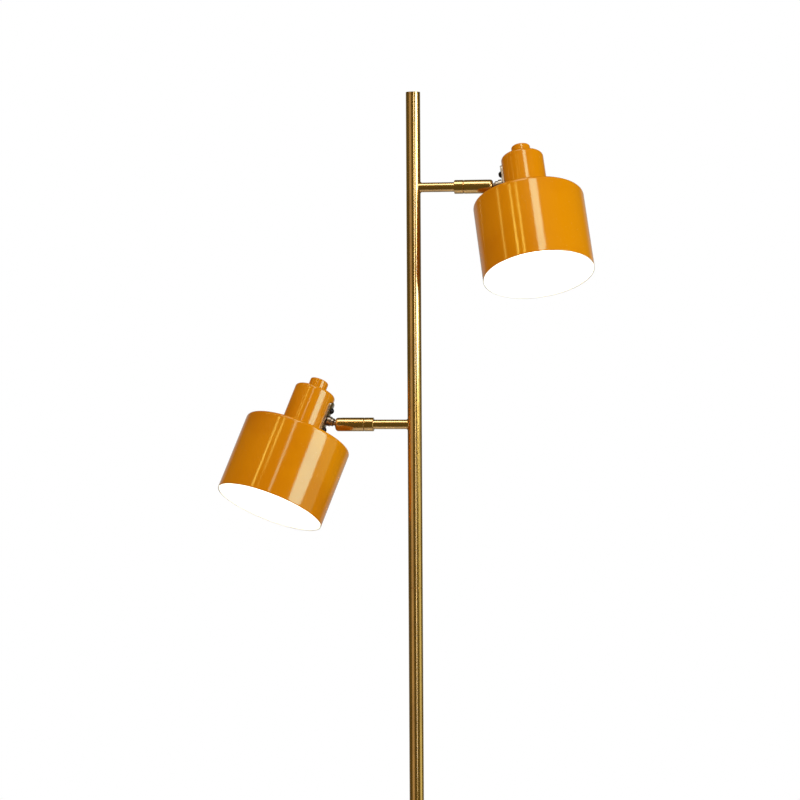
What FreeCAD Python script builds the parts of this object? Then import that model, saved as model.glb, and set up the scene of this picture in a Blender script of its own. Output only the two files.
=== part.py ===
"""Pole floor lamp with two adjustable spot heads on short side arms.

Millimetres. +Z is up and the origin is the centre of the foot's underside. The upper arm points
along +X and the lower arm along -X. Every size is a cell of the sheet, and every profile is
written in those cells' names.
"""
import FreeCAD, Part
import math
import os
import re
import Sketcher

Vector = FreeCAD.Vector

SIZES = {
    # foot
    "foot_diameter": 260.0,
    "foot_height": 19.0,
    "foot_cover_wall": 1.2,
    "foot_cover_edge_radius": 5.0,
    "foot_cover_floor_gap": 1.2,
    "foot_pad_thickness": 2.0,
    "foot_pad_inset": 4.0,
    "foot_weight_side_gap": 1.5,
    "foot_weight_bevel": 4.6,
    "foot_recess_radius": 14.0,
    "foot_recess_depth": 8.5,
    "foot_washer_radius": 11.0,
    "foot_washer_thickness": 1.5,
    # cord inlet at the back edge of the foot
    "inlet_bore_radius": 3.4,
    "inlet_wall": 1.5,
    "inlet_flange_radius": 6.0,
    "inlet_flange_thickness": 2.0,
    "inlet_flange_round": 1.0,
    "inlet_height": 8.6,
    "inlet_channel_width": 14.0,
    # pole
    "pole_diameter": 15.0,
    "pole_wall": 1.0,
    "pole_top_height": 1450.0,
    "upper_pole_length": 515.0,
    "middle_pole_length": 458.0,
    "pole_seam_bevel": 0.25,
    "pole_plug_flange": 1.8,
    "pole_plug_depth": 8.0,
    "pole_insert_length": 25.0,
    "nipple_end_gap": 1.0,
    "coupler_length": 36.0,
    "coupler_bore_radius": 4.0,
    # threaded lamp tube and its nuts
    "thread_radius": 5.0,
    "thread_bore_radius": 3.5,
    "hex_nut_width": 14.0,
    "hex_nut_thickness": 3.5,
    # side arms
    "upper_arm_drop": 99.0,
    "lower_arm_drop": 345.0,
    "arm_radius": 5.0,
    "arm_wall": 1.0,
    "braze_radius": 1.6,
    "arm_joint_length": 30.0,
    "arm_to_ball": 79.0,
    "wire_hole_radius": 3.5,
    "collar_length": 9.6,
    # slotted ball swivel
    "socket_radius": 7.17,
    "socket_length": 30.6,
    "socket_nose": 4.6,
    "socket_nose_radius": 3.2,
    "socket_mouth_radius": 5.0,
    "socket_lip_angle": 47.0,
    "socket_edge_radius": 0.4,
    "slot_width": 7.4,
    "slot_back": 0.8,
    "ball_radius": 5.7,
    "ball_clearance": 0.2,
    "seat_front": 3.4,
    "seat_back": 8.0,
    "seat_bore_radius": 3.0,
    "spring_thickness": 0.5,
    "spring_cone": 0.85,
    "arm_end_behind_ball": 14.4,
    "stud_neck_radius": 2.8,
    "stud_flare_start": 6.0,
    "stud_flare_end": 7.2,
    "stud_body_radius": 4.2,
    "stud_groove_start": 9.6,
    "stud_groove_width": 0.6,
    "stud_groove_radius": 3.6,
    "stud_flange_radius": 5.2,
    "stud_tenon_radius": 2.4,
    "stud_bore_radius": 1.6,
    "rivet_radius": 3.3,
    "rivet_thickness": 0.8,
    "rivet_bevel": 0.4,
    # saddle bracket between the stud and the neck
    "bracket_length": 39.0,
    "bracket_width": 14.0,
    "bracket_thickness": 1.8,
    "bracket_standoff": 0.25,
    "bracket_corner_radius": 4.0,
    "screw_spacing": 22.2,
    "screw_shank_radius": 1.9,
    "screw_head_radius": 3.4,
    "screw_head_height": 2.7,
    "screw_socket_width": 2.5,
    "screw_socket_depth": 1.3,
    "screw_tip_past_nut": 1.0,
    "screw_nut_width": 7.0,
    "screw_nut_thickness": 3.2,
    # head
    "ball_to_head_axis": 38.0,
    "stud_above_shade": 23.6,
    "shade_diameter": 114.5,
    "shade_height": 84.5,
    "shade_wall": 1.0,
    "shade_edge_radius": 3.0,
    "neck_diameter": 44.0,
    "neck_height": 51.0,
    "neck_wall": 1.2,
    "neck_edge_radius": 3.0,
    "cap_diameter": 19.6,
    "cap_height": 11.8,
    "cap_edge_radius": 1.5,
    "cap_thread_depth": 8.0,
    # lampholder and bulb
    "holder_skirt_radius": 13.9,
    "holder_skirt_length": 14.0,
    "holder_flange_radius": 17.0,
    "holder_flange_thickness": 3.0,
    "holder_body_radius": 14.5,
    "holder_shoulder_height": 22.0,
    "holder_hub_radius": 8.5,
    "holder_hub_start": 29.0,
    "holder_height": 35.0,
    "holder_cavity_radius": 7.2,
    "holder_cavity_top": 14.0,
    "holder_thread_depth": 6.0,
    "ring_flange_radius": 19.0,
    "ring_hub_radius": 16.5,
    "ring_flange_thickness": 2.0,
    "ring_height": 6.0,
    "bulb_base_radius": 6.95,
    "bulb_tip_radius": 3.5,
    "bulb_tip_length": 1.7,
    "bulb_tip_cone": 1.8,
    "bulb_tip_gap": 0.3,
    "bulb_radius": 22.5,
    "bulb_neck_radius": 9.5,
    "bulb_mouth_radius": 8.6,
    "bulb_mouth_lip": 2.4,
    "bulb_centre_drop": 45.0,
    "bulb_glass_wall": 0.8,
    # fits
    "running_clearance": 0.08,
    "fixed_clearance": 0.05,
    "seat_gap": 0.3,
    # how far a cutting shape passes the faces that it cuts
    "tool_reach": 1.0,
    # rest pose, degrees
    "head_roll": 22.0,
    "upper_stud_lean": 9.5,
    "lower_stud_lean": 17.5,
}

# Profile words that several pieces share.
POLE_OUTER = "(pole_diameter / 2)"
POLE_INNER = "(pole_diameter / 2 - pole_wall)"
TUBE_PLUG = "(pole_diameter / 2 - pole_wall - fixed_clearance)"
THREAD_HOLE = "(thread_radius + fixed_clearance)"
FOOT_RADIUS = "(foot_diameter / 2)"
WEIGHT_TOP = "(foot_height - foot_cover_wall)"
UPPER_SEAM = "(pole_top_height - upper_pole_length)"
LOWER_SEAM = "(pole_top_height - upper_pole_length - middle_pole_length)"
TUBE_TOP = "(pole_top_height - pole_plug_flange)"
SOCKET_BACK = "(socket_nose - socket_length)"
SEAT_RADIUS = "(ball_radius + ball_clearance)"
NECK_RADIUS = "(neck_diameter / 2)"
NECK_INNER = "(neck_diameter / 2 - neck_wall)"
PLATE_INNER = "(neck_diameter / 2 + bracket_standoff)"
PLATE_OUTER = "(neck_diameter / 2 + bracket_standoff + bracket_thickness)"
SCREW_SEAT = "(ball_to_head_axis - neck_diameter / 2 - bracket_standoff - bracket_thickness)"
# A bracket nut lies across the neck's round, so its flat face stands off by the round's sag.
NUT_SAG = "(%s - sqrt(%s^2 - (screw_nut_width / 2)^2))" % (NECK_INNER, NECK_INNER)
NUT_FACE = "(ball_to_head_axis - %s + %s + fixed_clearance)" % (NECK_INNER, NUT_SAG)
HOLDER_HOLE = "(holder_skirt_radius + seat_gap)"

SPRING_DISCS = 4
SEAM_TOLERANCE = 0.01

doc = FreeCAD.newDocument("pole_lamp")
sheet = doc.addObject("Spreadsheet::Sheet", "sizes")
subparts = []


def fill_sheet():
    for row, (name, size) in enumerate(SIZES.items(), start=1):
        sheet.set("A%d" % row, name)
        sheet.set("B%d" % row, str(size))
        sheet.setAlias("B%d" % row, name)
    doc.recompute()


def cells(text):
    """Write each size's name in an expression as its cell in the sheet."""
    return re.sub(r"\b[a-z]+(?:_[a-z]+)+\b", lambda found: "sizes." + found.group(0), text)


def value(text):
    return float(sheet.evalExpression(cells(text)))


# Sketches, bodies and features ---------------------------------------------------------------

def new_body(label):
    body = doc.addObject("PartDesign::Body", label)
    body.Label = label
    return body


def new_sketch(body, plane):
    sketch = body.newObject("Sketcher::SketchObject", body.Label + "_sketch")
    support = [item for item in body.Origin.OriginFeatures if item.Role == plane][0]
    sketch.AttachmentSupport = [(support, "")]
    sketch.MapMode = "FlatFace"
    return sketch


def fix_coordinate(sketch, kind, edge, end, text):
    """Hold one coordinate of an edge's end point: on its axis for "0", or bound to the sheet."""
    if text == "0":
        axis = -2 if kind == "DistanceX" else -1
        sketch.addConstraint(Sketcher.Constraint("PointOnObject", edge, end, axis))
        return
    index = sketch.addConstraint(Sketcher.Constraint(kind, -1, 1, edge, end, value(text)))
    sketch.setExpression("Constraints[%d]" % index, cells(text))


def arc_through(start, finish, radius, turn):
    """The shorter arc from start to finish; turn is 1 anticlockwise and -1 clockwise."""
    chord = finish - start
    middle = (start + finish) * 0.5
    rise = math.sqrt(max(radius ** 2 - chord.Length ** 2 / 4.0, 0.0))
    normal = Vector(-chord.y, chord.x, 0).normalize()
    centre = middle + normal * (rise * turn)
    angles = [math.atan2(point.y - centre.y, point.x - centre.x) for point in (start, finish)]
    if turn < 0:
        angles.reverse()
    return Part.ArcOfCircle(Part.Circle(centre, Vector(0, 0, 1), radius), *angles)


def draw_outline(sketch, outline):
    """Draw a closed outline. Each corner is (x, y), or (x, y, radius, turn) where an arc leaves."""
    corners = [Vector(value(corner[0]), value(corner[1]), 0) for corner in outline]
    ends = []
    for index, corner in enumerate(outline):
        start, finish = corners[index], corners[(index + 1) % len(corners)]
        if len(corner) == 4:
            sketch.addGeometry(arc_through(start, finish, value(corner[2]), corner[3]))
            ends.append((1, 2) if corner[3] > 0 else (2, 1))
        else:
            sketch.addGeometry(Part.LineSegment(start, finish))
            ends.append((1, 2))
    for index in range(len(outline)):
        following = (index + 1) % len(outline)
        join = Sketcher.Constraint("Coincident", index, ends[index][1], following, ends[following][0])
        sketch.addConstraint(join)
    for index, corner in enumerate(outline):
        fix_coordinate(sketch, "DistanceX", index, ends[index][0], corner[0])
        fix_coordinate(sketch, "DistanceY", index, ends[index][0], corner[1])
        if len(corner) == 4:
            radius = Sketcher.Constraint("Radius", index, value(corner[2]))
            sketch.setExpression("Constraints[%d]" % sketch.addConstraint(radius), cells(corner[2]))


def turned(label, outline, axis="V_Axis"):
    """A body turned about Z from an (r, z) outline, or with H_Axis about X from an (x, r) one."""
    body = new_body(label)
    sketch = new_sketch(body, "XZ_Plane")
    draw_outline(sketch, outline)
    feature = body.newObject("PartDesign::Revolution", label + "_turning")
    feature.Profile = (sketch, [""])
    feature.ReferenceAxis = (sketch, [axis])
    feature.Angle = 360
    return body


def extruded(label, plane, draw, length, kind="Pad", body=None, reverse=False):
    """Pad a sketch into a new body, or pocket one out of a body."""
    body = body or new_body(label)
    sketch = new_sketch(body, plane)
    draw(sketch)
    feature = body.newObject("PartDesign::" + kind, label + "_" + kind.lower())
    feature.Profile = (sketch, [""])
    feature.setExpression("Length", cells(length))
    feature.Reversed = reverse
    return body


def cylinder(label, radius, length, place=FreeCAD.Placement()):
    solid = doc.addObject("Part::Cylinder", label)
    solid.setExpression("Radius", cells(radius))
    solid.setExpression("Height", cells(length))
    solid.Placement = place
    return solid


def box(label, length, width, height, place):
    solid = doc.addObject("Part::Box", label)
    solid.setExpression("Length", cells(length))
    solid.setExpression("Width", cells(width))
    solid.setExpression("Height", cells(height))
    solid.Placement = place
    return solid


def hexagon(label, width, height, place=FreeCAD.Placement()):
    """A hexagonal prism of a width across its flats, with two flats facing along Y."""
    solid = doc.addObject("Part::Prism", label)
    solid.Polygon = 6
    solid.setExpression("Circumradius", cells("(%s) / 2 / cos(30)" % width))
    solid.setExpression("Height", cells(height))
    solid.Placement = place
    return solid


def cut(label, base, *tools):
    result = base
    for index, tool in enumerate(tools):
        last = index == len(tools) - 1
        feature = doc.addObject("Part::Cut", label if last else "%s_cut_%d" % (label, index + 1))
        feature.Base = result
        feature.Tool = tool
        result = feature
    return result


def group(label, *solids):
    feature = doc.addObject("Part::Compound", label)
    feature.Links = list(solids)
    return feature


def at(x="0", y="0", z="0", rotation=FreeCAD.Rotation()):
    return FreeCAD.Placement(Vector(value(x), value(y), value(z)), rotation)


def keep(piece, label, place=FreeCAD.Placement()):
    """Name a finished sub-part, set it in its place and list it."""
    piece.Label = label
    piece.Placement = place.multiply(piece.Placement)
    subparts.append(piece)
    return piece


TO_X = FreeCAD.Rotation(Vector(0, 1, 0), 90)       # turns +Z to +X
TO_Y = FreeCAD.Rotation(Vector(1, 0, 0), -90)      # turns +Z to +Y


# Foot -----------------------------------------------------------------------------------------

def build_foot():
    pad = turned("foot_pad_disc", [
        ("0", "0"),
        (FOOT_RADIUS + " - foot_pad_inset", "0"),
        (FOOT_RADIUS + " - foot_pad_inset", "foot_pad_thickness"),
        ("0", "foot_pad_thickness"),
    ])
    keep(pad, "base_pad")

    weight_radius = FOOT_RADIUS + " - foot_cover_wall - foot_weight_side_gap"
    recess_top = "(foot_pad_thickness + foot_recess_depth)"
    disc = turned("foot_weight_disc", [
        ("foot_recess_radius", "foot_pad_thickness"),
        (weight_radius, "foot_pad_thickness"),
        (weight_radius, WEIGHT_TOP + " - foot_weight_bevel"),
        (weight_radius + " - foot_weight_bevel", WEIGHT_TOP),
        (THREAD_HOLE, WEIGHT_TOP),
        (THREAD_HOLE, recess_top),
        ("foot_recess_radius", recess_top),
    ])
    channel_top = "inlet_height + inlet_channel_width / 2"
    channel = box("cord_channel", "inlet_channel_width", FOOT_RADIUS, channel_top,
                  at("-inlet_channel_width / 2"))
    keep(cut("foot_weight_casting", disc, channel), "base_weight")

    inner_edge = "(foot_cover_edge_radius - foot_cover_wall)"
    cover_inner = "(foot_diameter / 2 - foot_cover_wall)"
    shell = turned("foot_cover_shell", [
        (cover_inner, "foot_cover_floor_gap"),
        (FOOT_RADIUS, "foot_cover_floor_gap"),
        (FOOT_RADIUS, "foot_height - foot_cover_edge_radius", "foot_cover_edge_radius", 1),
        (FOOT_RADIUS + " - foot_cover_edge_radius", "foot_height"),
        (THREAD_HOLE, "foot_height"),
        (THREAD_HOLE, WEIGHT_TOP),
        (FOOT_RADIUS + " - foot_cover_edge_radius", WEIGHT_TOP, inner_edge, -1),
        (cover_inner, "foot_height - foot_cover_edge_radius"),
    ])
    hole_start = at("0", FOOT_RADIUS + " - foot_cover_wall - tool_reach", "inlet_height", TO_Y)
    inlet_hole = cylinder("inlet_hole", "inlet_bore_radius + inlet_wall + fixed_clearance",
                          "foot_cover_wall + tool_reach * 2", hole_start)
    keep(cut("foot_cover_spinning", shell, inlet_hole), "base_cover")

    inlet_outer = "(inlet_bore_radius + inlet_wall)"
    grip = "(inlet_flange_thickness + foot_cover_wall + seat_gap * 2)"
    bushing_end = grip + " + inlet_flange_thickness"
    bushing = turned("inlet_grommet", [
        ("inlet_bore_radius", "0"),
        ("inlet_flange_radius", "0"),
        ("inlet_flange_radius", "inlet_flange_thickness"),
        (inlet_outer, "inlet_flange_thickness"),
        (inlet_outer, grip),
        ("inlet_flange_radius", grip),
        ("inlet_flange_radius", bushing_end + " - inlet_flange_round", "inlet_flange_round", 1),
        ("inlet_flange_radius - inlet_flange_round", bushing_end),
        ("inlet_bore_radius", bushing_end),
    ])
    inlet_start = FOOT_RADIUS + " - foot_cover_wall - seat_gap - inlet_flange_thickness"
    keep(bushing, "cord_bushing", at("0", inlet_start, "inlet_height", TO_Y))

    nut_top = recess_top + " - foot_washer_thickness"
    washer = turned("foot_washer_ring", [
        (THREAD_HOLE, nut_top),
        ("foot_washer_radius", nut_top),
        ("foot_washer_radius", recess_top),
        (THREAD_HOLE, recess_top),
    ])
    keep(washer, "base_washer")
    nut_bottom = nut_top + " - hex_nut_thickness"
    nut = cut("foot_nut", hexagon("foot_nut_hex", "hex_nut_width", "hex_nut_thickness"),
              cylinder("foot_nut_hole", THREAD_HOLE, "hex_nut_thickness"))
    keep(nut, "base_nut", at("0", "0", nut_bottom))

    nipple_bottom = nut_bottom + " - seat_gap"
    nipple_top = "foot_height + pole_insert_length - nipple_end_gap"
    keep(threaded_tube("foot_nipple", nipple_bottom, nipple_top), "base_nipple")


def threaded_tube(label, bottom, top):
    return turned(label, [
        ("thread_bore_radius", bottom),
        ("thread_radius", bottom),
        ("thread_radius", top),
        ("thread_bore_radius", top),
    ])


# Pole -----------------------------------------------------------------------------------------

def pole_tube(label, bottom, top):
    """A tube section whose outer ends are lightly bevelled, which shows as a fine seam."""
    return turned(label, [
        (POLE_INNER, bottom),
        (POLE_OUTER + " - pole_seam_bevel", bottom),
        (POLE_OUTER, bottom + " + pole_seam_bevel"),
        (POLE_OUTER, top + " - pole_seam_bevel"),
        (POLE_OUTER + " - pole_seam_bevel", top),
        (POLE_INNER, top),
    ])


def inner_sleeve(label, bore, bottom, top):
    """A plain sleeve that fits inside the pole."""
    return turned(label, [
        (bore, bottom),
        (TUBE_PLUG, bottom),
        (TUBE_PLUG, top),
        (bore, top),
    ])


def build_pole():
    keep(pole_tube("lower_tube", "foot_height", LOWER_SEAM), "lower_pole")
    keep(pole_tube("middle_tube", LOWER_SEAM, UPPER_SEAM), "middle_pole")
    tube = pole_tube("upper_tube", UPPER_SEAM, TUBE_TOP)
    holes = [
        cylinder("wire_hole_" + side, "wire_hole_radius", POLE_OUTER + " + tool_reach",
                 at("0", "0", "pole_top_height - %s_arm_drop" % side, turn))
        for side, turn in (("upper", TO_X), ("lower", TO_X.inverted()))
    ]
    keep(cut("upper_tube_drilled", tube, *holes), "upper_pole")

    insert = inner_sleeve("foot_insert", THREAD_HOLE, "foot_height",
                          "foot_height + pole_insert_length")
    keep(insert, "pole_foot_insert")
    for name, seam in (("lower", LOWER_SEAM), ("upper", UPPER_SEAM)):
        sleeve = inner_sleeve(name + "_coupler_sleeve", "coupler_bore_radius",
                              seam + " - coupler_length / 2", seam + " + coupler_length / 2")
        keep(sleeve, name + "_coupler")

    plug = turned("pole_end_plug", [
        ("0", TUBE_TOP + " - pole_plug_depth"),
        (TUBE_PLUG, TUBE_TOP + " - pole_plug_depth"),
        (TUBE_PLUG, TUBE_TOP),
        (POLE_OUTER, TUBE_TOP),
        (POLE_OUTER, "pole_top_height - pole_seam_bevel"),
        (POLE_OUTER + " - pole_seam_bevel", "pole_top_height"),
        ("0", "pole_top_height"),
    ])
    keep(plug, "pole_top_plug")


# Side arms ------------------------------------------------------------------------------------

def build_arm(side, stand_frame):
    """A tube coped to the pole and brazed to it with a small fillet, and the collar on its end."""
    pole_piece = cylinder(side + "_arm_pole", POLE_OUTER, "arm_joint_length",
                          at("0", "0", "-arm_joint_length / 2"))
    rod = cylinder(side + "_arm_rod", "arm_radius", "arm_to_ball - arm_end_behind_ball",
                   at(rotation=TO_X))
    joined = doc.addObject("Part::Fuse", side + "_arm_joined")
    joined.Base = pole_piece
    joined.Tool = rod
    doc.recompute()
    reach = value(POLE_OUTER)
    seam = [
        index for index, edge in enumerate(joined.Shape.Edges, start=1)
        if edge.BoundBox.XMin > SEAM_TOLERANCE and edge.BoundBox.XMax < reach + SEAM_TOLERANCE
        and edge.BoundBox.YLength > value("arm_radius")
    ]
    brazed = doc.addObject("Part::Fillet", side + "_arm_brazed")
    brazed.Base = joined
    brazed.Edges = [(index, value("braze_radius"), value("braze_radius")) for index in seam]
    doc.recompute()
    clear_pole = cylinder(side + "_arm_cope", POLE_OUTER + " + fixed_clearance",
                          "arm_joint_length + tool_reach * 2",
                          at("0", "0", "-arm_joint_length / 2 - tool_reach"))
    bore = cylinder(side + "_arm_bore", "arm_radius - arm_wall", "arm_to_ball", at(rotation=TO_X))
    keep(cut(side + "_arm_tube", brazed, clear_pole, bore), side + "_arm", stand_frame)

    collar_start = "(arm_to_ball + %s - seat_gap - collar_length)" % SOCKET_BACK
    collar_end = "(arm_to_ball + %s - seat_gap)" % SOCKET_BACK
    collar = turned(side + "_lock_ring", [
        (collar_start, "arm_radius + fixed_clearance"),
        (collar_start, "socket_radius - socket_edge_radius"),
        (collar_start + " + socket_edge_radius", "socket_radius"),
        (collar_end + " - socket_edge_radius", "socket_radius"),
        (collar_end, "socket_radius - socket_edge_radius"),
        (collar_end, "arm_radius + fixed_clearance"),
    ], "H_Axis")
    keep(collar, side + "_collar", stand_frame)


# Slotted ball swivel: x runs out of the arm from the ball's centre ------------------------------

def build_socket(side, socket_frame):
    turn_bore = "(arm_radius + running_clearance)"
    arc_rise = "(socket_mouth_radius - socket_radius + socket_nose_radius)"
    mouth_x = ("(socket_nose - socket_nose_radius + sqrt(socket_nose_radius^2 - %s^2))"
               % arc_rise)
    body = turned(side + "_socket_cup", [
        (SOCKET_BACK, turn_bore),
        (SOCKET_BACK, "socket_radius - socket_edge_radius"),
        (SOCKET_BACK + " + socket_edge_radius", "socket_radius"),
        ("socket_nose - socket_nose_radius", "socket_radius", "socket_nose_radius", -1),
        (mouth_x, "socket_mouth_radius"),
        (SEAT_RADIUS + " * cos(socket_lip_angle)", SEAT_RADIUS + " * sin(socket_lip_angle)",
         SEAT_RADIUS, 1),
        ("0", SEAT_RADIUS),
        ("-arm_end_behind_ball", SEAT_RADIUS),
        ("-arm_end_behind_ball", turn_bore),
    ], "H_Axis")

    def slot(sketch):
        half = "slot_width / 2"
        draw_outline(sketch, [
            ("socket_nose + tool_reach", "-" + half),
            ("socket_nose + tool_reach", half),
            ("-slot_back", half, half, 1),
            ("-slot_back - " + half, "0", half, 1),
            ("-slot_back", "-" + half),
        ])

    extruded(side + "_socket_slot", "XY_Plane", slot, "socket_radius + tool_reach", "Pocket", body, True)
    keep(body, side + "_socket", socket_frame)

    seat = turned(side + "_seat_ring", [
        ("-seat_back", "seat_bore_radius"),
        ("-seat_back", SEAT_RADIUS + " - fixed_clearance"),
        ("-seat_front", SEAT_RADIUS + " - fixed_clearance"),
        ("-seat_front", "sqrt(%s^2 - seat_front^2)" % SEAT_RADIUS, SEAT_RADIUS, 1),
        ("-sqrt(%s^2 - seat_bore_radius^2)" % SEAT_RADIUS, "seat_bore_radius"),
    ], "H_Axis")
    keep(seat, side + "_ball_seat", socket_frame)

    pitch = "(spring_thickness + spring_cone + fixed_clearance)"
    discs = []
    for index in range(SPRING_DISCS):
        near = "-seat_back - fixed_clearance - %d * %s" % (index, pitch)
        lean = ("0", "spring_cone") if index % 2 else ("spring_cone", "0")
        outer = SEAT_RADIUS + " - fixed_clearance * 2"
        discs.append(turned("%s_disc_%d" % (side, index + 1), [
            ("%s - %s - spring_thickness" % (near, lean[0]), "seat_bore_radius"),
            ("%s - %s - spring_thickness" % (near, lean[1]), outer),
            ("%s - %s" % (near, lean[1]), outer),
            ("%s - %s" % (near, lean[0]), "seat_bore_radius"),
        ], "H_Axis"))
    keep(group(side + "_spring_stack", *discs), side + "_seat_springs", socket_frame)


def build_stud(side, stud_frame):
    """The ball and its hollow neck, riveted through the bracket."""
    plate_face = SCREW_SEAT
    groove_end = "(stud_groove_start + stud_groove_width)"
    rivet_face = "(ball_to_head_axis - %s + seat_gap)" % NECK_RADIUS
    stud = turned(side + "_ball_turning", [
        ("-sqrt(ball_radius^2 - stud_bore_radius^2)", "stud_bore_radius", "ball_radius", -1),
        ("sqrt(ball_radius^2 - stud_neck_radius^2)", "stud_neck_radius"),
        ("stud_flare_start", "stud_neck_radius"),
        ("stud_flare_end", "stud_body_radius"),
        ("stud_groove_start", "stud_body_radius"),
        ("stud_groove_start", "stud_groove_radius"),
        (groove_end, "stud_groove_radius"),
        (groove_end, "stud_flange_radius"),
        (plate_face + " - seat_gap", "stud_flange_radius"),
        (plate_face + " - seat_gap", "stud_tenon_radius"),
        (rivet_face, "stud_tenon_radius"),
        (rivet_face, "rivet_radius"),
        (rivet_face + " + rivet_thickness", "rivet_radius - rivet_bevel"),
        (rivet_face + " + rivet_thickness", "stud_bore_radius"),
    ], "H_Axis")
    keep(stud, side + "_ball_stud", stud_frame)


# Bracket and its fasteners: x runs along the stud from the ball, z along the head ----------------

def build_bracket(side, stud_frame):
    """A plate bent to the neck's round, with rounded corners and three holes."""
    half_length = "(bracket_length / 2)"
    half_width = "(bracket_width / 2)"
    low = at("ball_to_head_axis", "0", "-bracket_length / 2")
    ring = cut(side + "_plate_ring",
               cylinder(side + "_plate_outer", PLATE_OUTER, "bracket_length", low),
               cylinder(side + "_plate_inner", PLATE_INNER, "bracket_length", low))
    flat_y = half_width + " - bracket_corner_radius"
    flat_z = half_length + " - bracket_corner_radius"
    corner = ("bracket_corner_radius", 1)

    def plate(sketch):
        draw_outline(sketch, [
            (flat_y, "-" + half_length) + corner,
            (half_width, "-(%s)" % flat_z),
            (half_width, flat_z) + corner,
            (flat_y, half_length),
            ("-(%s)" % flat_y, half_length) + corner,
            ("-" + half_width, flat_z),
            ("-" + half_width, "-(%s)" % flat_z) + corner,
            ("-(%s)" % flat_y, "-" + half_length),
        ])

    blank = extruded(side + "_plate_blank", "YZ_Plane", plate, "ball_to_head_axis")
    curved = doc.addObject("Part::Common", side + "_plate_curved")
    curved.Base = ring
    curved.Tool = blank
    hole_reach = "ball_to_head_axis"
    stud_hole = cylinder(side + "_plate_stud_hole", "stud_tenon_radius + running_clearance",
                         hole_reach, at(rotation=TO_X))
    screw_holes = [
        cylinder("%s_plate_screw_hole_%d" % (side, index), "screw_shank_radius + fixed_clearance",
                 hole_reach, at("0", "0", "%d * screw_spacing / 2" % sign, TO_X))
        for index, sign in enumerate((1, -1), start=1)
    ]
    keep(cut(side + "_plate", curved, stud_hole, *screw_holes), side + "_bracket", stud_frame)

    keep(group(side + "_screw_pair", *[bracket_screw(side, index, sign)
                                       for index, sign in enumerate((1, -1), start=1)]),
         side + "_bracket_screws", stud_frame)
    keep(group(side + "_nut_pair", *[bracket_nut(side, index, sign)
                                     for index, sign in enumerate((1, -1), start=1)]),
         side + "_bracket_nuts", stud_frame)


def bracket_screw(side, index, sign):
    """A dome head with a hexagon socket, and its shank through plate, neck and nut."""
    name = "%s_screw_%d" % (side, index)
    seat = "(%s - fixed_clearance)" % SCREW_SEAT
    tip = "(%s + screw_nut_thickness + screw_tip_past_nut)" % NUT_FACE
    # The dome is an arc over the head's radius and height.
    dome = "((screw_head_radius^2 + screw_head_height^2) / (2 * screw_head_height))"
    body = turned(name, [
        (seat + " - screw_head_height", "0", dome, -1),
        (seat, "screw_head_radius"),
        (seat, "screw_shank_radius"),
        (tip, "screw_shank_radius"),
        (tip, "0"),
    ], "H_Axis")
    recess = hexagon(name + "_recess", "screw_socket_width", "screw_socket_depth",
                     at(seat + " - screw_head_height", rotation=TO_X))
    screw = cut(name + "_drilled", body, recess)
    screw.Placement = at("0", "0", "%d * screw_spacing / 2" % sign)
    return screw


def bracket_nut(side, index, sign):
    name = "%s_nut_%d" % (side, index)
    nut = cut(name, hexagon(name + "_hex", "screw_nut_width", "screw_nut_thickness",
                            at(rotation=TO_X)),
              cylinder(name + "_hole", "screw_shank_radius + fixed_clearance",
                       "screw_nut_thickness", at(rotation=TO_X)))
    nut.Placement = at(NUT_FACE, "0", "%d * screw_spacing / 2" % sign)
    return nut


# Head: z runs up the head's axis, x points away from the ball --------------------------------------

def build_shade(side, rim_frame):
    outer = "(shade_diameter / 2)"
    inner = "(shade_diameter / 2 - shade_wall)"
    shade = turned(side + "_drum", [
        (inner, "0"),
        (outer, "0"),
        (outer, "shade_height - shade_edge_radius", "shade_edge_radius", 1),
        (outer + " - shade_edge_radius", "shade_height"),
        (HOLDER_HOLE, "shade_height"),
        (HOLDER_HOLE, "shade_height - shade_wall"),
        (outer + " - shade_edge_radius", "shade_height - shade_wall",
         "shade_edge_radius - shade_wall", -1),
        (inner, "shade_height - shade_edge_radius"),
    ])
    keep(shade, side + "_shade", rim_frame)


def build_neck(side, top_frame):
    """The cup above the drum, drilled for the riveted stud and the two bracket screws."""
    outer, inner = NECK_RADIUS, NECK_INNER
    cup = turned(side + "_neck_cup", [
        (inner, "0"),
        (outer, "0"),
        (outer, "neck_height - neck_edge_radius", "neck_edge_radius", 1),
        (outer + " - neck_edge_radius", "neck_height"),
        (THREAD_HOLE, "neck_height"),
        (THREAD_HOLE, "neck_height - neck_wall"),
        (outer + " - neck_edge_radius", "neck_height - neck_wall",
         "neck_edge_radius - neck_wall", -1),
        (inner, "neck_height - neck_edge_radius"),
    ])
    from_axis = TO_X.inverted()
    holes = [cylinder(side + "_neck_rivet_hole", "rivet_radius + seat_gap", outer + " + tool_reach",
                      at("0", "0", "stud_above_shade", from_axis))]
    for index, sign in enumerate((1, -1), start=1):
        height = "stud_above_shade + %d * screw_spacing / 2" % sign
        holes.append(cylinder("%s_neck_screw_hole_%d" % (side, index),
                              "screw_shank_radius + fixed_clearance", outer + " + tool_reach",
                              at("0", "0", height, from_axis)))
    keep(cut(side + "_neck_drilled", cup, *holes), side + "_neck", top_frame)


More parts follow.
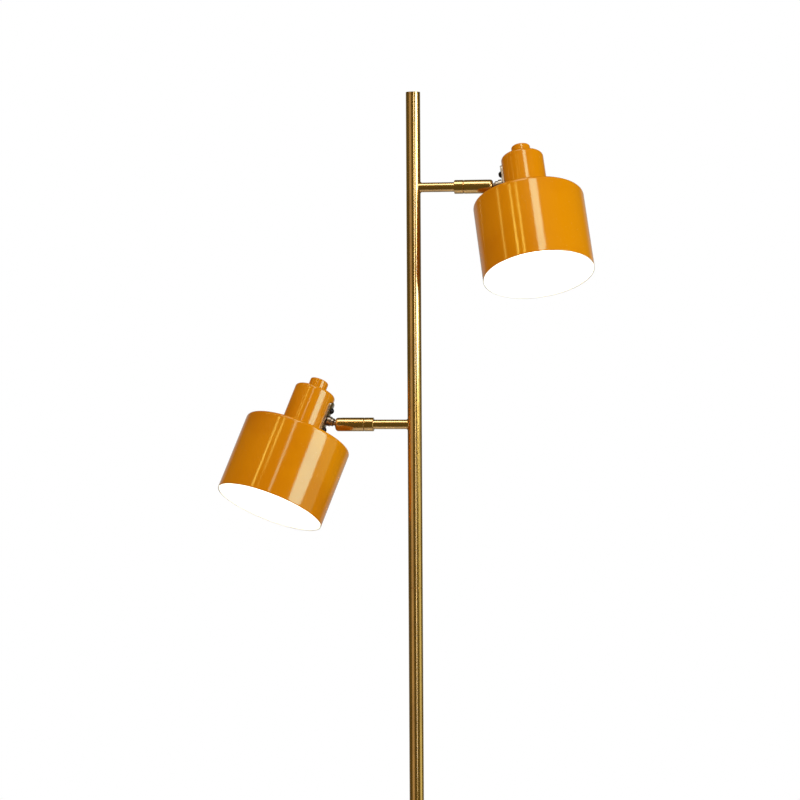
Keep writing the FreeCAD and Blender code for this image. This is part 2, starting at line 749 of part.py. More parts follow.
def build_cap(side, top_frame):
    radius = "(cap_diameter / 2)"
    cap = turned(side + "_cap_nut", [
        (THREAD_HOLE, "neck_height"),
        (radius, "neck_height"),
        (radius, "neck_height + cap_height - cap_edge_radius", "cap_edge_radius", 1),
        (radius + " - cap_edge_radius", "neck_height + cap_height"),
        ("0", "neck_height + cap_height"),
        ("0", "neck_height + cap_thread_depth"),
        (THREAD_HOLE, "neck_height + cap_thread_depth"),
    ])
    keep(cap, side + "_cap", top_frame)
    nipple = threaded_tube(side + "_nipple_tube", "holder_height - holder_thread_depth",
                           "neck_height + cap_thread_depth - seat_gap")
    keep(nipple, side + "_holder_nipple", top_frame)
    nut = cut(side + "_nipple_nut_hex_cut",
              hexagon(side + "_nipple_nut_hex", "hex_nut_width", "hex_nut_thickness"),
              cylinder(side + "_nipple_nut_hole", THREAD_HOLE, "hex_nut_thickness"))
    lift = at("0", "0", "neck_height - neck_wall - hex_nut_thickness")
    keep(nut, side + "_nipple_nut", top_frame.multiply(lift))


def build_lampholder(side, top_frame):
    holder = turned(side + "_holder_moulding", [
        ("holder_cavity_radius", "-holder_skirt_length"),
        ("holder_skirt_radius", "-holder_skirt_length"),
        ("holder_skirt_radius", "0"),
        ("holder_flange_radius", "0"),
        ("holder_flange_radius", "holder_flange_thickness"),
        ("holder_body_radius", "holder_flange_thickness"),
        ("holder_body_radius", "holder_shoulder_height"),
        ("holder_hub_radius", "holder_hub_start"),
        ("holder_hub_radius", "holder_height"),
        (THREAD_HOLE, "holder_height"),
        (THREAD_HOLE, "holder_height - holder_thread_depth"),
        ("0", "holder_height - holder_thread_depth"),
        ("0", "holder_cavity_top"),
        ("holder_cavity_radius", "holder_cavity_top"),
    ])
    keep(holder, side + "_lampholder", top_frame)
    bore = "holder_skirt_radius + fixed_clearance"
    ring = turned(side + "_shade_ring", [
        (bore, "-shade_wall - ring_height"),
        ("ring_hub_radius", "-shade_wall - ring_height"),
        ("ring_hub_radius", "-shade_wall - ring_flange_thickness"),
        ("ring_flange_radius", "-shade_wall - ring_flange_thickness"),
        ("ring_flange_radius", "-shade_wall"),
        (bore, "-shade_wall"),
    ])
    keep(ring, side + "_holder_ring", top_frame)


def build_bulb(side, top_frame):
    """A small round bulb: its screw shell in the holder, and a hollow glass below."""
    tip = "holder_cavity_top - bulb_tip_gap"
    base_end = "(-holder_skirt_length - seat_gap)"
    base = turned(side + "_bulb_shell", [
        ("0", base_end),
        ("bulb_base_radius", base_end),
        ("bulb_base_radius", tip + " - bulb_tip_length - bulb_tip_cone"),
        ("bulb_tip_radius", tip + " - bulb_tip_length"),
        ("bulb_tip_radius", tip),
        ("0", tip),
    ])
    keep(base, side + "_bulb_base", top_frame)
    mouth = base_end + " - fixed_clearance"
    inner_radius = "(bulb_radius - bulb_glass_wall)"
    inner_neck = "(bulb_neck_radius - bulb_glass_wall)"
    inner_mouth = "(bulb_mouth_radius - bulb_mouth_lip)"
    glass = turned(side + "_bulb_envelope", [
        ("0", "-bulb_centre_drop - bulb_radius", "bulb_radius", 1),
        ("bulb_neck_radius", "-bulb_centre_drop + sqrt(bulb_radius^2 - bulb_neck_radius^2)"),
        ("bulb_mouth_radius", mouth),
        (inner_mouth, mouth),
        (inner_mouth, mouth + " - bulb_glass_wall"),
        (inner_neck, "-bulb_centre_drop + sqrt(%s^2 - %s^2)" % (inner_radius, inner_neck),
         inner_radius, -1),
        ("0", "-bulb_centre_drop - " + inner_radius),
    ])
    keep(glass, side + "_bulb_glass", top_frame)


# Frames of the moving bodies ------------------------------------------------------------------------

def axes_frame(origin, along, up):
    """A placement whose x runs along one direction and whose z is the given up direction."""
    side = up.cross(along)
    matrix = FreeCAD.Matrix(along.x, side.x, up.x, origin.x,
                            along.y, side.y, up.y, origin.y,
                            along.z, side.z, up.z, origin.z,
                            0, 0, 0, 1)
    return FreeCAD.Placement(matrix)


def head_frames(side, direction):
    """The frames of an arm, its socket, its ball stud and its head at rest."""
    out = Vector(direction, 0, 0)
    height = value("pole_top_height - %s_arm_drop" % side)
    arm = axes_frame(Vector(0, 0, height), out, Vector(0, 0, 1))
    roll = math.radians(value("head_roll"))
    up = Vector(0, math.sin(roll), math.cos(roll))
    ball = Vector(0, 0, height) + out * value("arm_to_ball")
    socket = axes_frame(ball, out, up)
    lean = math.radians(value("%s_stud_lean" % side))
    along = out * math.cos(lean) + up * math.sin(lean)
    head_up = up * math.cos(lean) - out * math.sin(lean)
    stud = axes_frame(ball, along, head_up)
    top = stud.multiply(at("ball_to_head_axis", "0", "-stud_above_shade"))
    rim = top.multiply(at("0", "0", "-shade_height"))
    return arm, socket, stud, top, rim


def build_head(side, direction):
    arm, socket, stud, top, rim = head_frames(side, direction)
    build_arm(side, arm)
    build_socket(side, socket)
    build_stud(side, stud)
    build_bracket(side, stud)
    build_neck(side, top)
    build_cap(side, top)
    build_lampholder(side, top)
    build_bulb(side, top)
    build_shade(side, rim)


def check_model():
    doc.recompute()
    for item in doc.Objects:
        if "Invalid" in item.State or "Error" in item.State:
            raise RuntimeError("%s failed: %s" % (item.Name, item.State))
    for piece in subparts:
        if piece.Shape.isNull() or not piece.Shape.isValid() or not piece.Shape.Solids:
            raise RuntimeError(piece.Label + " has no valid solid")


fill_sheet()
build_foot()
build_pole()
build_head("upper", 1)
build_head("lower", -1)
check_model()
os.makedirs("parts", exist_ok=True)
for piece in subparts:
    piece.Shape.exportStep("parts/%s.step" % piece.Label)
print(len(subparts), "sub-parts written")
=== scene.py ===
"""The looks of a pole floor lamp: brass tubes and swivels, and spun shades in mustard enamel.

Metres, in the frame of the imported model. The upper head hangs on the arm along +X, and the
lower head on the arm along -X.
"""
import math

import bpy
from mathutils import Matrix, Vector


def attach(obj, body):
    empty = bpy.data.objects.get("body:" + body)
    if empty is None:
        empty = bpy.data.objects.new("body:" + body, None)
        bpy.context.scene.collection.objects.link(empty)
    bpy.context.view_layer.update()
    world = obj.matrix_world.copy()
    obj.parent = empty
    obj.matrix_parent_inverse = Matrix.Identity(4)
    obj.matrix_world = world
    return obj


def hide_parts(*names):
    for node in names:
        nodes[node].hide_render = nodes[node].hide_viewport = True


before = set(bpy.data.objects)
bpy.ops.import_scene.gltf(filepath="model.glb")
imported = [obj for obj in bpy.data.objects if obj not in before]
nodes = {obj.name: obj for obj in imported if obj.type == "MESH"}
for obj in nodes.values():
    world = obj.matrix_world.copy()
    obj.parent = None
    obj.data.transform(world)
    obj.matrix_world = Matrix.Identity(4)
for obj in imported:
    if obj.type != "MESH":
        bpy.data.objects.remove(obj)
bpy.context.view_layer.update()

MM = 0.001
SIDES = {"upper": 1, "lower": -1}

# Sizes that the made pieces share with the solids.
ARM_TO_BALL = 79.0 * MM
ARM_HEIGHT = {"upper": 1351.0 * MM, "lower": 1105.0 * MM}
HEAD_ROLL = math.radians(22.0)
STUD_LEAN = {"upper": math.radians(9.5), "lower": math.radians(17.5)}
BALL_TO_HEAD_AXIS = 38.0 * MM
STUD_ABOVE_SHADE = 23.6 * MM
SHADE_RADIUS = 57.25 * MM
SHADE_HEIGHT = 84.5 * MM
SHADE_WALL = 1.0 * MM
SHADE_EDGE = 3.0 * MM
SHADE_HOLE = 14.2 * MM
SKIRT_RADIUS = 13.9 * MM
SKIRT_LENGTH = 14.0 * MM
RING_HUB_RADIUS = 16.5 * MM
RING_HEIGHT = 6.0 * MM
THREAD_START = 0.8 * MM
RIB_INSET = 0.3 * MM


def head_matrix(side):
    """The head's frame: its origin on the drum's top face, +Z up the head's axis."""
    out = Vector((SIDES[side], 0, 0))
    up = Vector((0, math.sin(HEAD_ROLL), math.cos(HEAD_ROLL)))
    lean = STUD_LEAN[side]
    along = out * math.cos(lean) + up * math.sin(lean)
    axis = up * math.cos(lean) - out * math.sin(lean)
    ball = Vector((SIDES[side] * ARM_TO_BALL, 0, ARM_HEIGHT[side]))
    top = ball + along * BALL_TO_HEAD_AXIS - axis * STUD_ABOVE_SHADE
    across = axis.cross(along)
    return Matrix.Translation(top) @ Matrix((along, across, axis)).transposed().to_4x4()


# Nodes ------------------------------------------------------------------------------------------

class Signal:
    """An output socket, with arithmetic that adds Math nodes to its tree."""

    def __init__(self, tree, socket):
        self.tree = tree
        self.socket = socket

    def math(self, operation, *terms):
        return self.tree.add("ShaderNodeMath", {"operation": operation}, dict(enumerate(terms)))

    def __add__(self, other):
        return self.math("ADD", self, other)

    def __sub__(self, other):
        return self.math("SUBTRACT", self, other)

    def __rsub__(self, other):
        return self.math("SUBTRACT", other, self)

    def __mul__(self, other):
        return self.math("MULTIPLY", self, other)

    def __truediv__(self, other):
        return self.math("DIVIDE", self, other)

    def __pow__(self, other):
        return self.math("POWER", self, other)

    def __lt__(self, other):
        return self.math("LESS_THAN", self, other)

    __radd__ = __add__
    __rmul__ = __mul__


class Tree:
    """A node tree whose nodes all come from add()."""

    def __init__(self, node_tree):
        self.node_tree = node_tree

    def add(self, kind, settings=None, sockets=None, output=0):
        node = self.node_tree.nodes.new(kind)
        for name, setting in (settings or {}).items():
            if name == "stops":
                self.set_stops(node.color_ramp, setting)
            else:
                setattr(node, name, setting)
        for name, term in (sockets or {}).items():
            self.feed(node.inputs[name], term)
        self.last = node
        return Signal(self, node.outputs[output]) if node.outputs else node

    def feed(self, socket, term):
        if isinstance(term, Signal):
            self.node_tree.links.new(term.socket, socket)
        elif isinstance(term, (tuple, list)) and socket.type == "RGBA" and len(term) == 3:
            socket.default_value = (*term, 1.0)
        else:
            socket.default_value = term

    def set_stops(self, ramp, stops):
        while len(ramp.elements) < len(stops):
            ramp.elements.new(1.0)
        for element, (position, colour) in zip(ramp.elements, stops):
            element.position = position
            element.color = (*colour, 1.0)

    def mix(self, factor, first, second):
        """Two colours blended by a value."""
        sockets = {"Factor": factor, 6: first, 7: second}
        return self.add("ShaderNodeMix", {"data_type": "RGBA"}, sockets, 2)

    def vector(self, operation, *terms, output=0):
        sockets = dict(enumerate(terms))
        return self.add("ShaderNodeVectorMath", {"operation": operation}, sockets, output)

    def spread(self, signal, low, high, bottom=0.0, top=1.0, smooth=True):
        """A value mapped from low..high to bottom..top, and held there."""
        kind = "SMOOTHSTEP" if smooth else "LINEAR"
        sockets = {"Value": signal, "From Min": low, "From Max": high,
                   "To Min": bottom, "To Max": top}
        return self.add("ShaderNodeMapRange", {"interpolation_type": kind}, sockets)

    def noise(self, place, scale, detail=2.0, roughness=0.5, distortion=0.0):
        sockets = {"Vector": place, "Scale": scale, "Detail": detail,
                   "Roughness": roughness, "Distortion": distortion}
        return self.add("ShaderNodeTexNoise", {}, sockets)


def srgb(red, green, blue):
    """A colour as it is seen, in 0 to 255, as the linear colour that a shader takes."""
    linear = []
    for seen in (red, green, blue):
        part = seen / 255.0
        linear.append(part / 12.92 if part <= 0.04045 else ((part + 0.055) / 1.055) ** 2.4)
    return tuple(linear)


class Finish(Tree):
    """A material of the lamp, built around one Principled shader."""

    def __init__(self, name):
        self.material = bpy.data.materials.new(name)
        self.material.use_nodes = True
        super().__init__(self.material.node_tree)
        self.shader = self.node_tree.nodes["Principled BSDF"]

    def place(self):
        return self.add("ShaderNodeTexCoord", {}, {}, "Object")

    def stretched(self, place, factors):
        return self.vector("MULTIPLY", place, factors)

    def bump(self, height, distance, strength):
        sockets = {"Height": height, "Distance": distance, "Strength": strength}
        return self.add("ShaderNodeBump", {}, sockets)

    def set(self, **sockets):
        for name, term in sockets.items():
            self.feed(self.shader.inputs[name.replace("_", " ")], term)
        return self.material


# Finishes ---------------------------------------------------------------------------------------

def drawn_brass(name, grain, bright=srgb(206, 160, 84), dull=srgb(188, 142, 68), rough=0.19):
    """Lacquered brass tube with draw lines; grain is how much the pattern is stretched."""
    f = Finish(name)
    place = f.place()
    lines = f.noise(f.stretched(place, grain), 1.0, 4.0, 0.65)
    patina = f.noise(place, 26.0, 4.0, 0.6, 0.4)
    specks = f.spread(f.noise(place, 420.0, 2.0, 0.5), 0.66, 0.74)
    tone = f.spread(patina * 0.85 + lines * 0.15, 0.36, 0.64)
    colour = f.mix(tone, dull, bright)
    colour = f.mix(specks * 0.1, colour, srgb(132, 92, 38))
    roughness = rough - 0.03 + 0.05 * lines + 0.04 * (1 - tone) + 0.06 * specks
    return f.set(Base_Color=colour, Metallic=1.0, Roughness=roughness,
                 Normal=f.bump(lines, 0.005 * MM, 0.3), Coat_Weight=1.0, Coat_Roughness=0.08,
                 Coat_IOR=1.9)


def along_axis(fine, lengthwise, axis):
    """Pattern scales for lines that run along one axis."""
    factors = [fine, fine, fine]
    factors[axis] = lengthwise
    return tuple(factors)


def mustard_enamel(name):
    """Glossy stoved enamel: a slight orange peel, with faint dust and wipe marks."""
    f = Finish(name)
    place = f.place()
    peel = f.noise(place, 320.0, 2.0, 0.5)
    broad = f.noise(place, 14.0, 3.0, 0.5)
    dust = f.spread(f.noise(place, 900.0, 1.0, 0.5), 0.72, 0.8)
    colour = f.mix(f.spread(broad, 0.35, 0.65), srgb(192, 112, 0), srgb(202, 123, 0))
    colour = f.mix(dust * 0.3, colour, srgb(236, 190, 110))
    wipes = f.noise(f.stretched(place, (40.0, 40.0, 9.0)), 1.0, 3.0, 0.6)
    return f.set(Base_Color=colour, Roughness=0.07 + 0.08 * wipes + 0.2 * dust,
                 Normal=f.bump(peel, 0.015 * MM, 0.3), Specular_IOR_Level=0.55,
                 Specular_Tint=(0.66, 1.0, 0.72, 1.0))


def white_enamel(name):
    f = Finish(name)
    place = f.place()
    cloud = f.noise(place, 22.0, 3.0, 0.5)
    peel = f.noise(place, 300.0, 2.0, 0.5)
    colour = f.mix(cloud, srgb(244, 242, 234), srgb(251, 250, 246))
    return f.set(Base_Color=colour, Roughness=0.32 + 0.1 * cloud,
                 Normal=f.bump(peel, 0.02 * MM, 0.4))


def plain_finish(name, low, high, scale, rough, metallic=0.0, grain=0.03 * MM, coat=0.0):
    """A finish with a broad change of tone and a fine surface grain."""
    f = Finish(name)
    place = f.place()
    tone = f.noise(place, scale, 4.0, 0.6)
    fine = f.noise(place, scale * 22.0, 3.0, 0.6)
    colour = f.mix(f.spread(tone * 0.7 + fine * 0.3, 0.35, 0.65), low, high)
    return f.set(Base_Color=colour, Metallic=metallic, Roughness=rough + 0.12 * fine,
                 Normal=f.bump(fine, grain, 0.6), Coat_Weight=coat)


def opal_glass(name):
    """The lit bulb: milky glass that glows, with a faint cloudy change in its glow."""
    f = Finish(name)
    place = f.place()
    cloud = f.noise(place, 60.0, 2.0, 0.5)
    glow = f.mix(cloud, srgb(255, 240, 214), srgb(255, 247, 232))
    return f.set(Base_Color=srgb(245, 244, 240), Roughness=0.25 + 0.1 * cloud,
                 Emission_Color=glow, Emission_Strength=9.0)


TUBE_LINES = 2600.0
BRASS_POLE = drawn_brass("brass_pole", along_axis(TUBE_LINES, 14.0, 2))
BRASS_ARM = drawn_brass("brass_arm", along_axis(TUBE_LINES, 14.0, 0))
BRASS_FOOT = drawn_brass("brass_foot", (160.0, 160.0, 900.0), rough=0.3)
PALE_BRASS = drawn_brass("brass_pale", (700.0, 700.0, 700.0), srgb(168, 146, 130),
                         srgb(124, 100, 86), 0.32)
ENAMEL = mustard_enamel("enamel_outside")
INSIDE = white_enamel("enamel_inside")
BLACK = plain_finish("black_oxide", srgb(24, 19, 22), srgb(48, 40, 44), 90.0, 0.34, 0.7)
ZINC = plain_finish("steel_zinc", srgb(150, 150, 146), srgb(196, 196, 192), 70.0, 0.28, 1.0)
IRON = plain_finish("painted_iron", srgb(34, 34, 35), srgb(62, 61, 60), 60.0, 0.6, 0.0, 0.2 * MM)
PLASTIC = plain_finish("plastic_white", srgb(226, 223, 212), srgb(240, 238, 230), 40.0, 0.34)
RUBBER = plain_finish("rubber_black", srgb(24, 24, 25), srgb(40, 40, 41), 80.0, 0.7, 0.0, 0.1 * MM)
GLASS = opal_glass("glass_opal")

NODE_FINISH = {
    "base_cover": BRASS_FOOT, "base_pad": RUBBER, "base_weight": IRON, "cord_bushing": RUBBER,
    "base_washer": ZINC, "base_nut": ZINC, "base_nipple": ZINC, "pole_foot_insert": ZINC,
    "lower_pole": BRASS_POLE, "middle_pole": BRASS_POLE, "upper_pole": BRASS_POLE,
    "pole_top_plug": BRASS_POLE, "lower_coupler": ZINC, "upper_coupler": ZINC,
}
HEAD_FINISH = {
    "arm": BRASS_ARM, "collar": BRASS_ARM, "socket": BRASS_ARM, "ball_seat": PLASTIC,
    "seat_springs": ZINC, "ball_stud": PALE_BRASS, "bracket": PALE_BRASS,
    "bracket_screws": BLACK, "bracket_nuts": ZINC, "neck": ENAMEL, "cap": ENAMEL,
    "holder_nipple": ZINC, "nipple_nut": ZINC, "lampholder": PLASTIC, "holder_ring": PLASTIC,
    "bulb_base": ZINC, "bulb_glass": GLASS, "shade": ENAMEL,
}
for side in SIDES:
    for part, finish in HEAD_FINISH.items():
        NODE_FINISH["%s_%s" % (side, part)] = finish
for name, finish in NODE_FINISH.items():
    for index in range(len(nodes[name].material_slots)):
        nodes[name].material_slots[index].material = finish


# Pieces made by rule ------------------------------------------------------------------------------

class Growth(Tree):
    """A Geometry Nodes tree with named inputs, run on an empty mesh to make one piece."""

    def __init__(self, name, inputs):
        group = bpy.data.node_groups.new(name, "GeometryNodeTree")
        for label, kind, default in inputs:
            socket = group.interface.new_socket(label, in_out="INPUT", socket_type=kind)
            socket.default_value = default
        group.interface.new_socket("Geometry", in_out="OUTPUT", socket_type="NodeSocketGeometry")
        super().__init__(group)
        self.add("NodeGroupInput")
        self.size = {socket.name: Signal(self, socket) for socket in self.last.outputs}

    def number_is(self, number):
        """1 where a point has this number, 0 elsewhere."""
        index = self.add("GeometryNodeInputIndex")
        return self.add("FunctionNodeCompare", {"data_type": "INT", "operation": "EQUAL"},
                        {2: index, 3: number})

    def close(self, geometry, *paints):
        """End the tree: real geometry, then each material on the part that it covers."""
        geometry = self.add("GeometryNodeRealizeInstances", {}, {"Geometry": geometry})
        for paint, selection in paints:
            sockets = {"Geometry": geometry, "Selection": selection, "Material": paint}
            geometry = self.add("GeometryNodeSetMaterial", {}, sockets)
        self.add("NodeGroupOutput", {}, {"Geometry": geometry})

    def grow(self, name, place, body, slot, **inputs):
        """The tree's result as a plain mesh, set in its place, riding on a body."""
        seed = bpy.data.objects.new(name, bpy.data.meshes.new(name + "_seed"))
        bpy.context.scene.collection.objects.link(seed)
        modifier = seed.modifiers.new("growth", "NODES")
        modifier.node_group = self.node_tree
        for item in self.node_tree.interface.items_tree:
            label = item.name.replace(" ", "_")
            if item.in_out == "INPUT" and label in inputs:
                modifier[item.identifier] = inputs[label]
        graph = bpy.context.evaluated_depsgraph_get()
        mesh = bpy.data.meshes.new_from_object(seed.evaluated_get(graph), depsgraph=graph)
        seed.modifiers.remove(modifier)
        mesh.name = name
        mesh.transform(place)
        seed.data = mesh
        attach(seed, body)
        return seed


LENGTH = "NodeSocketFloat"
COUNT = "NodeSocketInt"
PAINT = "NodeSocketMaterial"
RAIL = 1.0 * MM
CORNER_POINTS = 8
SECTION_POINTS = 220
RIDGE_SIDES = 10
RIB_SIDES = 12


def shade_growth():
    """A drum spun about Z: a closed wall section with rounded corners, swept round a circle."""
    g = Growth("spun_shade", [
        ("Radius", LENGTH, SHADE_RADIUS), ("Height", LENGTH, SHADE_HEIGHT),
        ("Wall", LENGTH, SHADE_WALL), ("Edge Radius", LENGTH, SHADE_EDGE),
        ("Hole Radius", LENGTH, SHADE_HOLE), ("Ripple", LENGTH, 0.04 * MM),
        ("Seed", LENGTH, 0.0), ("Around", COUNT, 240),
        ("Outside", PAINT, ENAMEL), ("Inside", PAINT, INSIDE),
    ])
    size = g.size
    radius, height, wall, edge = (size[word] for word in ("Radius", "Height", "Wall", "Edge Radius"))
    inner = radius - wall
    hole = size["Hole Radius"]
    # The section's corners: out from the hole and down the outside, then back up the inside.
    # The sweep turns the section's Y to face down, so each second number is a depth.
    corners = [
        (hole, 0.0, wall * 0.3), (radius, 0.0, edge), (radius, height, wall * 0.4),
        (inner, height, wall * 0.4), (inner, wall, edge - wall), (hole, wall, wall * 0.3),
    ]
    across, down, bend = 0.0, 0.0, 0.0
    for number, (reach, depth, turn) in enumerate(corners):
        here = g.number_is(number)
        across = here * (reach - RAIL) + across
        down = here * depth + down
        bend = here * turn + bend
    line = g.add("GeometryNodeMeshLine", {}, {"Count": len(corners)})
    spot = g.add("ShaderNodeCombineXYZ", {}, {"X": across, "Y": down})
    line = g.add("GeometryNodeSetPosition", {}, {"Geometry": line, "Position": spot})
    section = g.add("GeometryNodeMeshToCurve", {}, {"Mesh": line})
    section = g.add("GeometryNodeSetSplineCyclic", {}, {"Geometry": section, "Cyclic": True})
    section = g.add("GeometryNodeFilletCurve", {"mode": "POLY"},
                    {"Curve": section, "Count": CORNER_POINTS, "Radius": bend, "Limit Radius": True})
    section = g.add("GeometryNodeResampleCurve", {"mode": "COUNT"},
                    {"Curve": section, "Count": SECTION_POINTS})
    rail = g.add("GeometryNodeCurvePrimitiveCircle", {}, {"Resolution": size["Around"],
                                                          "Radius": RAIL})
    wall_mesh = g.add("GeometryNodeCurveToMesh", {}, {"Curve": rail, "Profile Curve": section})
    position = g.add("GeometryNodeInputPosition")
    stretched = g.vector("MULTIPLY", position, (70.0, 70.0, 24.0))
    wave = g.add("ShaderNodeTexNoise", {"noise_dimensions": "4D"},
                 {"Vector": stretched, "W": size["Seed"], "Scale": 1.0, "Detail": 2.0})
    outward = g.vector("NORMALIZE", g.vector("MULTIPLY", position, (1.0, 1.0, 0.0)))
    lift = g.vector("SCALE", outward)
    g.feed(g.last.inputs["Scale"], (wave - 0.5) * size["Ripple"] * 2.0)
    wall_mesh = g.add("GeometryNodeSetPosition", {}, {"Geometry": wall_mesh, "Offset": lift})
    wall_mesh = g.add("GeometryNodeSetShadeSmooth", {}, {"Geometry": wall_mesh})
    g.add("ShaderNodeSeparateXYZ", {}, {"Vector": position})
    height_here = Signal(g, g.last.outputs["Z"])
    reach = g.vector("LENGTH", g.vector("MULTIPLY", position, (1.0, 1.0, 0.0)), output="Value")
    # How far a point lies out from the middle of the rounded corner, across and up.
    out = g.add("ShaderNodeMath", {"operation": "MAXIMUM"}, {0: reach - radius + edge, 1: 0.0})
    over = g.add("ShaderNodeMath", {"operation": "MAXIMUM"}, {0: height_here + edge, 1: 0.0})
    inside = (out * out + over * over) ** 0.5 < edge - wall * 0.5
    lip = height_here < wall * 0.3 - height
    inside = g.add("FunctionNodeBooleanMath", {"operation": "OR"}, {0: inside, 1: lip})
    g.close(wall_mesh, (size["Outside"], True), (size["Inside"], inside))
    return g


def thread_growth():
    """A round thread: a ridge wound about Z, with closed ends."""
    g = Growth("round_thread", [
        ("Radius", LENGTH, SKIRT_RADIUS), ("Length", LENGTH, 5.4 * MM), ("Pitch", LENGTH, 2.0 * MM),
        ("Ridge", LENGTH, 0.55 * MM), ("Around", COUNT, 96), ("Paint", PAINT, PLASTIC),
    ])
    size = g.size
    turns = size["Length"] / size["Pitch"]
    path = g.add("GeometryNodeCurveSpiral", {}, {
        "Resolution": size["Around"], "Rotations": turns, "Start Radius": size["Radius"],
        "End Radius": size["Radius"], "Height": size["Length"]})
    ridge = g.add("GeometryNodeCurvePrimitiveCircle", {},
                  {"Resolution": RIDGE_SIDES, "Radius": size["Ridge"]})
    sockets = {"Curve": path, "Profile Curve": ridge, "Fill Caps": True}
    thread = g.add("GeometryNodeCurveToMesh", {}, sockets)
    thread = g.add("GeometryNodeSetShadeSmooth", {}, {"Geometry": thread})
    g.close(thread, (size["Paint"], True))
    return g


def ribs_growth():
    """Grip ribs that stand round a hub, each a short round bar with closed ends."""
    g = Growth("grip_ribs", [
        ("Radius", LENGTH, RING_HUB_RADIUS), ("Height", LENGTH, 3.4 * MM),
        ("Rib", LENGTH, 0.55 * MM), ("Count", COUNT, 44), ("Paint", PAINT, PLASTIC),
    ])
    size = g.size
    ring = g.add("GeometryNodeMeshCircle", {}, {"Vertices": size["Count"], "Radius": size["Radius"]})
    top = g.add("ShaderNodeCombineXYZ", {}, {"Z": size["Height"]})
    path = g.add("GeometryNodeCurvePrimitiveLine", {}, {"End": top})
    edge = g.add("GeometryNodeCurvePrimitiveCircle", {},
                 {"Resolution": RIB_SIDES, "Radius": size["Rib"]})
    sockets = {"Curve": path, "Profile Curve": edge, "Fill Caps": True}
    rib = g.add("GeometryNodeCurveToMesh", {}, sockets)
    ribs = g.add("GeometryNodeInstanceOnPoints", {}, {"Points": ring, "Instance": rib})
    g.close(ribs, (size["Paint"], True))
    return g


shade = shade_growth()
thread = thread_growth()
ribs = ribs_growth()
for number, side in enumerate(SIDES):
    head = head_matrix(side)
    body = side + "_head"
    drum = shade.grow(side + "_drum", head, body, "mustard_enamel", Seed=3.0 + number)
    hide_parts(side + "_shade")
    under_holder = head @ Matrix.Translation((0, 0, THREAD_START - SKIRT_LENGTH))
    thread.grow(side + "_holder_thread", under_holder, body, "white_plastic")
    under_ring = head @ Matrix.Translation((0, 0, RIB_INSET - SHADE_WALL - RING_HEIGHT))
    ribs.grow(side + "_ring_ribs", under_ring, body, "white_plastic")


# Floor ------------------------------------------------------------------------------------------

FLOOR_SIZE = 2.2
FLOOR_FADE_START = 0.35
FLOOR_FADE_END = 1.05


def build_stage():
    mesh = bpy.data.meshes.new("floor")
    half = FLOOR_SIZE / 2
    mesh.from_pydata([(-half, -half, 0), (half, -half, 0), (half, half, 0), (-half, half, 0)], [],
                     [(0, 1, 2, 3)])
    floor = bpy.data.objects.new("floor", mesh)
    bpy.context.scene.collection.objects.link(floor)
    f = Finish("floor_paint")
    place = f.place()
    cloud = f.noise(place, 2.0, 3.0, 0.5)
    paint = f.mix(cloud, srgb(236, 236, 236), srgb(242, 242, 242))
    middle = f.vector("LENGTH", place, output="Value")
    f.set(Base_Color=paint, Roughness=0.7, Alpha=f.spread(middle, FLOOR_FADE_END, FLOOR_FADE_START))
    mesh.materials.append(f.material)


# Light and camera -------------------------------------------------------------------------------

CAMERA_SIDE = math.radians(8.5)
CAMERA_DISTANCE = 2.808
CAMERA_HEIGHT = 1.182
FOCAL_PIXELS = 2700.0
FRAME_PIXELS = 800.0
SENSOR = 36.0
LAMP_CENTRE = Vector((0, 0, 1.23))
LAMP_DISTANCE = 2.6
POLE_PAST_MIDDLE = 14.6
HORIZON_ABOVE_MIDDLE = 49.6
CAMERA_ROLL = math.radians(-0.32)
ROOM = (0.13, 0.105, 0.03)
ROOM_ABOVE = (0.3, 0.3, 0.22)
ROOM_BEHIND = (0.42, 0.42, 0.38)
FILL = (0.41, 0.38, 0.36)


def toward(azimuth, elevation=0.0):
    """A direction from the lamp; azimuth is measured from the camera's side, + to its right."""
    turn = CAMERA_SIDE + math.radians(azimuth)
    rise = math.radians(elevation)
    level = Vector((math.sin(turn), -math.cos(turn), 0)) * math.cos(rise)
    return level + Vector((0, 0, math.sin(rise)))


def softbox(name, azimuth, elevation, width, height, radiance, tint):
    """A rectangular lamp that faces the lamp's middle; its width and height are in degrees."""
    light = bpy.data.lights.new(name, "AREA")
    light.shape = "RECTANGLE"
    light.size = 2 * LAMP_DISTANCE * math.tan(math.radians(width) / 2)
    light.size_y = 2 * LAMP_DISTANCE * math.tan(math.radians(height) / 2)
    light.energy = radiance * math.pi * light.size * light.size_y
    light.color = tint
    lamp = bpy.data.objects.new(name, light)
    spot = LAMP_CENTRE + toward(azimuth, elevation) * LAMP_DISTANCE
    facing = (LAMP_CENTRE - spot).to_track_quat("-Z", "Y")
    lamp.matrix_world = Matrix.Translation(spot) @ facing.to_matrix().to_4x4()
    lamp.visible_camera = False
    bpy.context.scene.collection.objects.link(lamp)


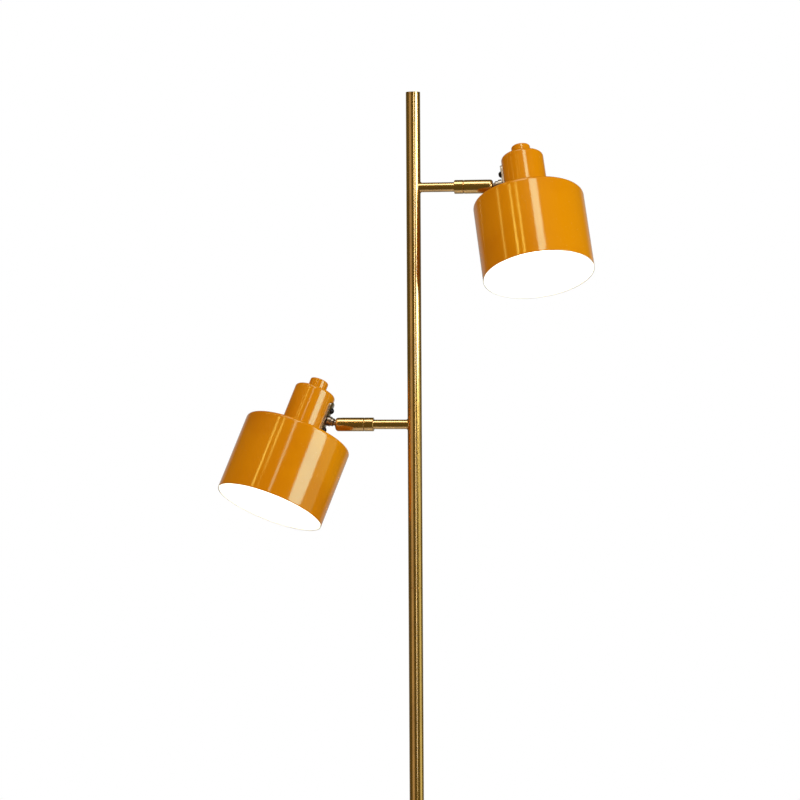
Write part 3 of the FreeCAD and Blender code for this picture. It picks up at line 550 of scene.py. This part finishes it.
def build_world():
    """White for the camera and glass, a soft grey studio for light, and a studio to reflect."""
    world = bpy.data.worlds.new("studio")
    world.use_nodes = True
    bpy.context.scene.world = world
    t = Tree(world.node_tree)
    seen = t.add("ShaderNodeLightPath", {}, {}, "Is Camera Ray")
    glossy = Signal(t, t.last.outputs["Is Glossy Ray"])
    through = Signal(t, t.last.outputs["Is Transmission Ray"])
    way = t.add("ShaderNodeTexCoord", {}, {}, "Generated")
    front = t.vector("DOT_PRODUCT", way, tuple(toward(0.0)), output="Value")
    up = t.vector("DOT_PRODUCT", way, (0.0, 0.0, 1.0), output="Value")
    behind = t.spread(front, -0.68, -0.88) * t.spread(up, 0.3, 0.1)
    above = t.spread(up, 0.62, 0.85) * t.spread(front, -0.3, 0.1)
    mirror = t.mix(above, ROOM, ROOM_ABOVE)
    mirror = t.mix(behind, mirror, ROOM_BEHIND)
    colour = t.mix(glossy, FILL, mirror)
    colour = t.mix(t.spread(seen + through, 0.0, 1.0, smooth=False), colour, (1.0, 1.0, 1.0))
    background = world.node_tree.nodes["Background"]
    t.feed(background.inputs["Color"], colour)
    background.inputs["Strength"].default_value = 1.0


def build_camera():
    camera = bpy.data.cameras.new("camera")
    camera.sensor_width = SENSOR
    camera.lens = FOCAL_PIXELS / FRAME_PIXELS * SENSOR
    camera.clip_end = 60.0
    eye = toward(0.0) * CAMERA_DISTANCE
    eye.z = CAMERA_HEIGHT
    # Where the lamp stands in the frame: its pole right of the middle, the horizon above it.
    yaw = math.atan(POLE_PAST_MIDDLE / FOCAL_PIXELS)
    pitch = math.atan(HORIZON_ABOVE_MIDDLE / FOCAL_PIXELS)
    ahead = -toward(0.0)
    ahead.rotate(Matrix.Rotation(yaw, 3, "Z"))
    ahead = ahead * math.cos(pitch) - Vector((0, 0, math.sin(pitch)))
    right = ahead.cross(Vector((0, 0, 1))).normalized()
    up = right.cross(ahead)
    turn = Matrix((right, up, -ahead)).transposed()
    roll = Matrix.Rotation(CAMERA_ROLL, 3, "Z")
    eye_object = bpy.data.objects.new("camera", camera)
    eye_object.matrix_world = Matrix.Translation(eye) @ (turn @ roll).to_4x4()
    bpy.context.scene.collection.objects.link(eye_object)
    bpy.context.scene.camera = eye_object


bpy.context.scene.view_settings.view_transform = "Standard"
build_stage()
build_world()
build_camera()
# Each lamp: azimuth, elevation, width and height in degrees, how bright it looks, and its tint.
KEY = (0.94, 1.0, 0.94)
WINDOW = (0.84, 1.0, 1.0)
WARM = (1.0, 0.62, 0.16)
LAMPS = {
    "key_high": (12.0, 51.0, 13.0, 18.0, 7.6, KEY),
    "key_middle": (-3.0, 36.0, 4.0, 16.0, 4.8, KEY),
    "key_low": (12.0, 6.0, 8.0, 18.0, 4.4, KEY),
    "key_lowest": (14.0, -12.0, 8.0, 16.0, 2.4, KEY),
    "window_high": (54.0, 13.0, 28.0, 30.0, 8.2, WINDOW),
    "window_low": (80.0, -16.0, 34.0, 32.0, 0.9, (0.9, 1.0, 0.6)),
    "overhead": (-30.0, 67.0, 24.0, 26.0, 3.6, KEY),
    "left_bounce": (-50.0, -6.0, 36.0, 52.0, 0.5, (1.0, 0.84, 0.6)),
    "strip_a": (-77.0, 24.0, 3.0, 14.0, 7.0, WARM),
    "strip_b": (-48.0, 37.0, 3.0, 8.0, 14.0, WARM),
    "strip_c": (-33.0, 41.0, 3.0, 8.0, 13.0, WARM),
    "strip_d": (-66.0, 46.0, 4.0, 6.0, 8.0, WARM),
    "strip_e": (-89.0, 41.0, 3.0, 8.0, 9.0, WARM),
}
for name, setting in LAMPS.items():
    softbox(name, *setting)
